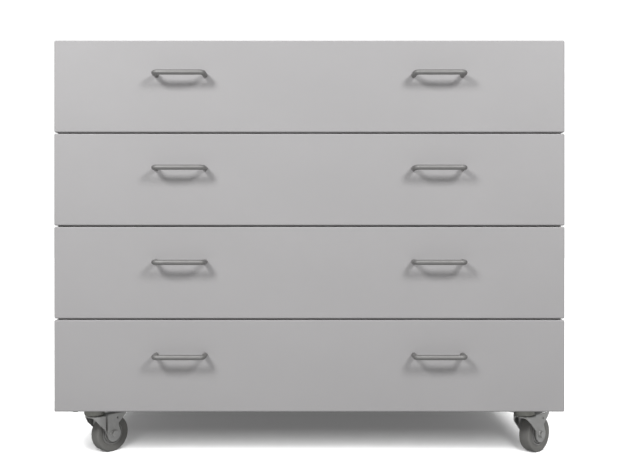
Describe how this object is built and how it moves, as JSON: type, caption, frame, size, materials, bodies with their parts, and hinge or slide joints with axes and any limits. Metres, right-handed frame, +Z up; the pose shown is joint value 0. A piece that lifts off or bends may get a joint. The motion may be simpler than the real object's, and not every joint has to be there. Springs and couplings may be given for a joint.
{
  "type": "flat file cabinet",
  "caption": "Low flat file cabinet of folded sheet steel with full-width drawers on telescopic slides, bent bar pulls and swivel casters.",
  "frame": {"origin": "on the floor, below the middle of the whole cabinet's box, handles included", "axes": "+X to the cabinet's right as seen from its front, +Y to its back, +Z up; the drawers open along -Y"},
  "size_m": [1, 0.7368, 0.8275],
  "materials": {
    "shell_coat": "light grey satin powder coat with a fine orange peel, on folded steel sheet",
    "front_coat": "light grey satin powder coat with a fine orange peel, on folded steel sheet",
    "tray_coat": "light grey satin powder coat",
    "handle_steel": "satin stainless steel bar, brushed along its length",
    "slide_zinc": "bright zinc plated rolled steel",
    "caster_zinc": "dull zinc plated pressed steel",
    "bolt_steel": "zinc plated bolt and nut",
    "wheel_rubber": "grey thermoplastic rubber tread on a grey moulded hub"
  },
  "bodies": {
    "cabinet": {"wrapper": "shell_coat", "top_cover": "shell_coat", "base_panel": "shell_coat", "slide_outer_1_left": "slide_zinc", "slide_outer_1_right": "slide_zinc", "slide_outer_2_left": "slide_zinc", "slide_outer_2_right": "slide_zinc", "slide_outer_3_left": "slide_zinc", "slide_outer_3_right": "slide_zinc", "slide_outer_4_left": "slide_zinc", "slide_outer_4_right": "slide_zinc", "caster_plate_front_left": "caster_zinc", "caster_plate_front_right": "caster_zinc", "caster_plate_rear_left": "caster_zinc", "caster_plate_rear_right": "caster_zinc"},
    "drawer_1": {"front_1": "front_coat", "tray_1": "tray_coat", "handle_1_left": "handle_steel", "handle_1_right": "handle_steel", "slide_inner_1_left": "slide_zinc", "slide_inner_1_right": "slide_zinc"},
    "slide_middles_1": {"slide_middle_1_left": "slide_zinc", "slide_middle_1_right": "slide_zinc"},
    "drawer_2": {"front_2": "front_coat", "tray_2": "tray_coat", "handle_2_left": "handle_steel", "handle_2_right": "handle_steel", "slide_inner_2_left": "slide_zinc", "slide_inner_2_right": "slide_zinc"},
    "slide_middles_2": {"slide_middle_2_left": "slide_zinc", "slide_middle_2_right": "slide_zinc"},
    "drawer_3": {"front_3": "front_coat", "tray_3": "tray_coat", "handle_3_left": "handle_steel", "handle_3_right": "handle_steel", "slide_inner_3_left": "slide_zinc", "slide_inner_3_right": "slide_zinc"},
    "slide_middles_3": {"slide_middle_3_left": "slide_zinc", "slide_middle_3_right": "slide_zinc"},
    "drawer_4": {"front_4": "front_coat", "tray_4": "tray_coat", "handle_4_left": "handle_steel", "handle_4_right": "handle_steel", "slide_inner_4_left": "slide_zinc", "slide_inner_4_right": "slide_zinc"},
    "slide_middles_4": {"slide_middle_4_left": "slide_zinc", "slide_middle_4_right": "slide_zinc"},
    "swivel_front_left": {"caster_fork_front_left": "caster_zinc", "caster_axle_front_left": "bolt_steel"},
    "wheel_front_left": {"caster_wheel_front_left": "wheel_rubber"},
    "swivel_front_right": {"caster_fork_front_right": "caster_zinc", "caster_axle_front_right": "bolt_steel"},
    "wheel_front_right": {"caster_wheel_front_right": "wheel_rubber"},
    "swivel_rear_left": {"caster_fork_rear_left": "caster_zinc", "caster_axle_rear_left": "bolt_steel"},
    "wheel_rear_left": {"caster_wheel_rear_left": "wheel_rubber"},
    "swivel_rear_right": {"caster_fork_rear_right": "caster_zinc", "caster_axle_rear_right": "bolt_steel"},
    "wheel_rear_right": {"caster_wheel_rear_right": "wheel_rubber"}
  },
  "joints": [
    {"name": "drawer_1_slide", "type": "slide", "parent": "cabinet", "child": "drawer_1", "axis": [0, -1, 0], "range_m": [0, 0.6]},
    {"name": "slide_middles_1_run", "type": "slide", "parent": "cabinet", "child": "slide_middles_1", "axis": [0, -1, 0], "range_m": [0, 0.3]},
    {"name": "drawer_2_slide", "type": "slide", "parent": "cabinet", "child": "drawer_2", "axis": [0, -1, 0], "range_m": [0, 0.6]},
    {"name": "slide_middles_2_run", "type": "slide", "parent": "cabinet", "child": "slide_middles_2", "axis": [0, -1, 0], "range_m": [0, 0.3]},
    {"name": "drawer_3_slide", "type": "slide", "parent": "cabinet", "child": "drawer_3", "axis": [0, -1, 0], "range_m": [0, 0.6]},
    {"name": "slide_middles_3_run", "type": "slide", "parent": "cabinet", "child": "slide_middles_3", "axis": [0, -1, 0], "range_m": [0, 0.3]},
    {"name": "drawer_4_slide", "type": "slide", "parent": "cabinet", "child": "drawer_4", "axis": [0, -1, 0], "range_m": [0, 0.6]},
    {"name": "slide_middles_4_run", "type": "slide", "parent": "cabinet", "child": "slide_middles_4", "axis": [0, -1, 0], "range_m": [0, 0.3]},
    {"name": "swivel_front_left_turn", "type": "hinge", "parent": "cabinet", "child": "swivel_front_left", "pos_m": [-0.437, -0.2695, 0.08], "axis": [0, 0, 1], "continuous": true},
    {"name": "wheel_front_left_roll", "type": "hinge", "parent": "swivel_front_left", "child": "wheel_front_left", "pos_m": [-0.41338, -0.24233, 0.0375], "axis": [-0.7547, 0.6561, 0], "continuous": true},
    {"name": "swivel_front_right_turn", "type": "hinge", "parent": "cabinet", "child": "swivel_front_right", "pos_m": [0.437, -0.2695, 0.08], "axis": [0, 0, 1], "continuous": true},
    {"name": "wheel_front_right_roll", "type": "hinge", "parent": "swivel_front_right", "child": "wheel_front_right", "pos_m": [0.46458, -0.24636, 0.0375], "axis": [-0.6428, 0.766, 0], "continuous": true},
    {"name": "swivel_rear_left_turn", "type": "hinge", "parent": "cabinet", "child": "swivel_rear_left", "pos_m": [-0.437, 0.3065, 0.08], "axis": [0, 0, 1], "continuous": true},
    {"name": "wheel_rear_left_roll", "type": "hinge", "parent": "swivel_rear_left", "child": "wheel_rear_left", "pos_m": [-0.40521, 0.3234, 0.0375], "axis": [-0.4695, 0.8829, 0], "continuous": true},
    {"name": "swivel_rear_right_turn", "type": "hinge", "parent": "cabinet", "child": "swivel_rear_right", "pos_m": [0.437, 0.3065, 0.08], "axis": [0, 0, 1], "continuous": true},
    {"name": "wheel_rear_right_roll", "type": "hinge", "parent": "swivel_rear_right", "child": "wheel_rear_right", "pos_m": [0.40942, 0.32964, 0.0375], "axis": [-0.6428, -0.766, 0], "continuous": true}
  ],
  "couplings": [
    {"joint": "slide_middles_1_run", "follows": "drawer_1_slide", "ratio": 0.5},
    {"joint": "slide_middles_2_run", "follows": "drawer_2_slide", "ratio": 0.5},
    {"joint": "slide_middles_3_run", "follows": "drawer_3_slide", "ratio": 0.5},
    {"joint": "slide_middles_4_run", "follows": "drawer_4_slide", "ratio": 0.5}
  ]
}
